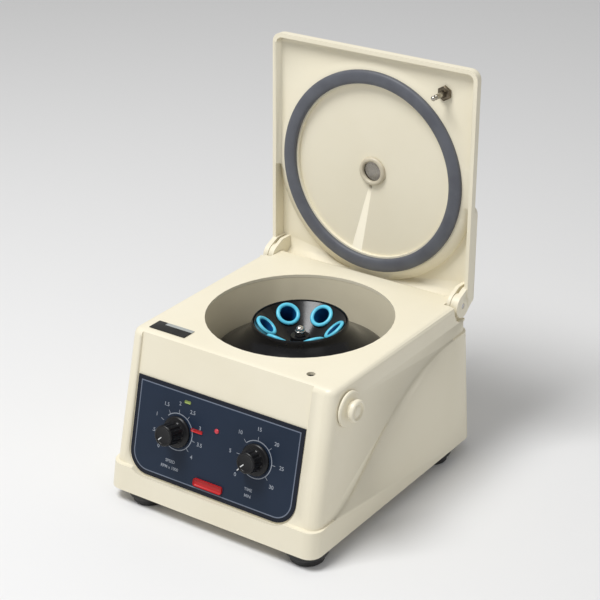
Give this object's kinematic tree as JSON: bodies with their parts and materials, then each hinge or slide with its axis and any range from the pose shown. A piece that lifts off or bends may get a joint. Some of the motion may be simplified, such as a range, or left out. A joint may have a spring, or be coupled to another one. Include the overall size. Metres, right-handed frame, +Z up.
{
  "type": "benchtop tube centrifuge",
  "caption": "Benchtop blood-tube centrifuge with a hinged lid on a round gasket, a fixed-angle rotor with tube sleeves in a bowl, a sloping panel with two dials, and a side latch knob",
  "frame": {"origin": "centre of the bounding box on the surface that the feet stand on, lid open", "axes": "+Z up, -Y towards the control panel, +X towards the latch knob; the rotor turns about a vertical axis"},
  "size_m": [0.249, 0.2911, 0.3952],
  "materials": {
    "cream_moulding": "smooth moulded cream plastic, low sheen",
    "grey_rubber": "matt grey sealing rubber",
    "black_rubber": "matt black rubber",
    "navy_panel": "printed film, satin navy",
    "black_moulding": "black moulded plastic, soft gloss",
    "blue_sleeve": "light blue moulded plastic, satin",
    "steel": "turned steel",
    "zinc_plate": "zinc-plated pressed steel",
    "dark_metal": "dark plated metal",
    "clear_window": "clear window",
    "red_lamp": "red lamp lens",
    "board_green": "solder-masked board"
  },
  "bodies": {
    "body": {"housing": "cream_moulding", "base_pan": "cream_moulding", "bowl": "cream_moulding", "shaft_seal": "black_rubber", "control_panel": "navy_panel", "panel_lamp": "red_lamp", "label_plate": "black_moulding", "foot_front_left": "black_rubber", "foot_front_right": "black_rubber", "foot_rear_left": "black_rubber", "foot_rear_right": "black_rubber", "foot_screw_front_left": "steel", "foot_screw_front_right": "steel", "foot_screw_rear_left": "steel", "foot_screw_rear_right": "steel", "motor_can": "zinc_plate", "motor_end_bell": "zinc_plate", "motor_bearing_upper": "steel", "motor_bearing_lower": "steel", "motor_plate": "zinc_plate", "motor_damper_1": "black_rubber", "motor_damper_2": "black_rubber", "motor_damper_3": "black_rubber", "motor_screw_1": "steel", "motor_screw_2": "steel", "motor_screw_3": "steel", "speed_potentiometer": "zinc_plate", "timer_mechanism": "zinc_plate", "circuit_board": "board_green", "power_inlet": "black_moulding", "fuse_drawer": "black_moulding", "latch_bracket": "zinc_plate", "lid_switch": "black_moulding", "hinge_pin_left": "steel", "hinge_pin_right": "steel"},
    "lid_group": {"lid": "cream_moulding", "lid_gasket": "grey_rubber", "lid_window": "clear_window", "window_ring": "dark_metal", "latch_pin": "dark_metal", "latch_nut": "dark_metal"},
    "rotor_group": {"rotor": "black_moulding", "rotor_skirt": "black_moulding", "sleeve_1": "blue_sleeve", "sleeve_2": "blue_sleeve", "sleeve_3": "blue_sleeve", "sleeve_4": "blue_sleeve", "sleeve_5": "blue_sleeve", "sleeve_6": "blue_sleeve", "rotor_nut": "steel", "motor_shaft": "steel", "motor_armature": "zinc_plate"},
    "speed_dial": {"speed_knob": "black_moulding", "speed_spindle": "steel"},
    "timer_dial": {"timer_knob": "black_moulding", "timer_spindle": "steel"},
    "latch_handle": {"latch_knob": "cream_moulding", "latch_shaft": "steel", "latch_cam": "zinc_plate"},
    "switch_button": {"switch_plunger": "black_moulding"}
  },
  "joints": [
    {"name": "lid_hinge", "type": "hinge", "parent": "body", "child": "lid_group", "pos_m": [-0.00399, 0.11909, 0.1617], "axis": [1, 0, 0], "range_deg": [0, 91.6]},
    {"name": "rotor_spin", "type": "hinge", "parent": "body", "child": "rotor_group", "pos_m": [-0.00399, 0.00879, 0.1662], "axis": [0, 0, 1], "continuous": true},
    {"name": "speed_knob_turn", "type": "hinge", "parent": "body", "child": "speed_dial", "pos_m": [-0.05299, -0.12182, 0.0835], "axis": [0, 0.9701, -0.2425], "range_deg": [0, 270]},
    {"name": "timer_knob_turn", "type": "hinge", "parent": "body", "child": "timer_dial", "pos_m": [0.03831, -0.12182, 0.0835], "axis": [0, 0.9701, -0.2425], "range_deg": [0, 270]},
    {"name": "latch_knob_turn", "type": "hinge", "parent": "body", "child": "latch_handle", "pos_m": [0.07441, -0.08371, 0.142], "axis": [-1, 0, 0], "range_deg": [0, 90]},
    {"name": "switch_press", "type": "slide", "parent": "body", "child": "switch_button", "axis": [0, 0, -1], "range_m": [0, 0.0021]}
  ],
  "couplings": [
    {"joint": "switch_press", "follows": "latch_knob_turn", "m_per_rad": 0.00127}
  ]
}
